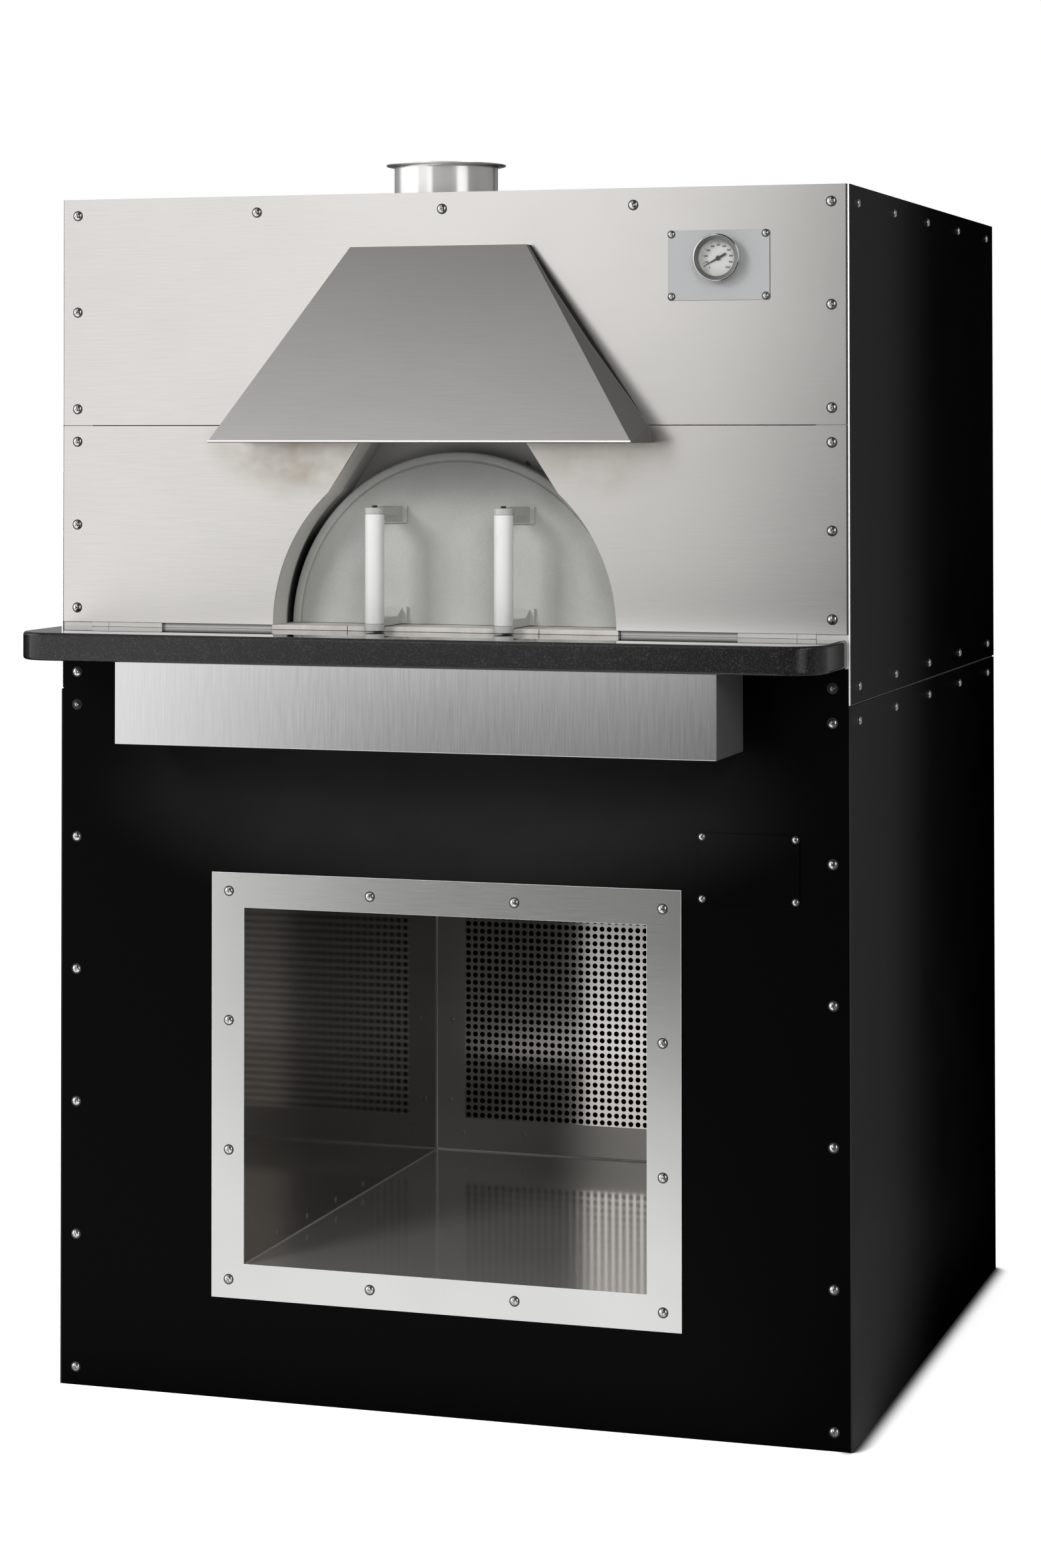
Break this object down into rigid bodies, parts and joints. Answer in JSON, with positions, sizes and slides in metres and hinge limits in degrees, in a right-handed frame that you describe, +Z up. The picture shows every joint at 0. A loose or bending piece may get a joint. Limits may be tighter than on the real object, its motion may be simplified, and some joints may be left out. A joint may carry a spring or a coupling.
{
  "type": "wood-fired oven",
  "caption": "Wood-fired oven with an arched mouth, loose door, hood and stone mantle, on a steel cabinet base with an open wood store.",
  "frame": {"origin": "on the floor, at the middle of the whole part's plan", "axes": "+X to the right as seen from the front, +Y to the rear, +Z up"},
  "size_m": [1.0464, 1.1382, 1.565],
  "materials": {
    "brushed_stainless": "fine horizontal brushing, satin",
    "hood_stainless": "fine brushing, satin, a little darker than the panels",
    "black_enamel": "satin black coating",
    "frame_steel": "primed square tube",
    "polished_stone": "polished dark stone with a fine speckle",
    "refractory": "cast refractory, matte",
    "insulation": "ceramic fibre",
    "flue_steel": "bright sheet steel",
    "screw_steel": "plain stainless screws",
    "gauge_metal": "light satin metal",
    "gauge_face": "off-white dial",
    "gauge_pointer": "black pointer",
    "gauge_glass": "flat clear glass",
    "cast_aluminium": "cast, satin with soft mottling",
    "white_grip": "matte white sleeve"
  },
  "bodies": {
    "oven": {"upper_front_panel": "brushed_stainless", "left_lower_front_panel": "brushed_stainless", "right_lower_front_panel": "brushed_stainless", "trim_frame": "brushed_stainless", "mantle_support_box": "brushed_stainless", "store_floor": "brushed_stainless", "store_left_wall": "brushed_stainless", "store_right_wall": "brushed_stainless", "store_ceiling": "brushed_stainless", "store_rear_wall": "brushed_stainless", "left_reveal": "brushed_stainless", "right_reveal": "brushed_stainless", "mouth_plate": "brushed_stainless", "hood": "hood_stainless", "base_front_panel": "black_enamel", "left_upper_side_panel": "black_enamel", "right_upper_side_panel": "black_enamel", "left_lower_side_panel": "black_enamel", "right_lower_side_panel": "black_enamel", "upper_rear_panel": "black_enamel", "lower_rear_panel": "black_enamel", "access_plate": "black_enamel", "roof_panel": "black_enamel", "base_lower_rails": "frame_steel", "base_frame": "frame_steel", "module_frame": "frame_steel", "floor_pan": "frame_steel", "mantle_bearer": "frame_steel", "mantle_slab": "polished_stone", "hearth_tiles": "refractory", "dome": "refractory", "mouth_arch": "refractory", "threshold_tiles": "refractory", "hearth_insulation": "insulation", "dome_blanket": "insulation", "flue_collar": "flue_steel", "smoke_duct": "flue_steel", "front_panel_screws": "screw_steel", "base_panel_screws": "screw_steel", "trim_screws": "screw_steel", "side_screws": "screw_steel", "rear_screws": "screw_steel", "plate_screws": "screw_steel", "panel_shims": "screw_steel", "thermometer_stem": "screw_steel", "thermometer_plate": "gauge_metal", "thermometer_case": "gauge_metal", "thermometer_bezel": "gauge_metal", "thermometer_dial": "gauge_face", "thermometer_glass": "gauge_glass"},
    "door": {"door_panel": "cast_aluminium", "upper_left_bracket": "cast_aluminium", "upper_right_bracket": "cast_aluminium", "lower_left_bracket": "cast_aluminium", "lower_right_bracket": "cast_aluminium", "left_grip": "white_grip", "right_grip": "white_grip", "handle_rods": "screw_steel"},
    "pointer": {"thermometer_pointer": "gauge_pointer"}
  },
  "joints": [
    {"name": "door_pull", "type": "slide", "parent": "oven", "child": "door", "axis": [0, -1, 0], "range_m": [0, 0.35]},
    {"name": "pointer_turn", "type": "hinge", "parent": "oven", "child": "pointer", "pos_m": [0.3584, -0.4271, 1.4368], "axis": [0, 1, 0], "range_deg": [-16.5, 253.5]}
  ]
}
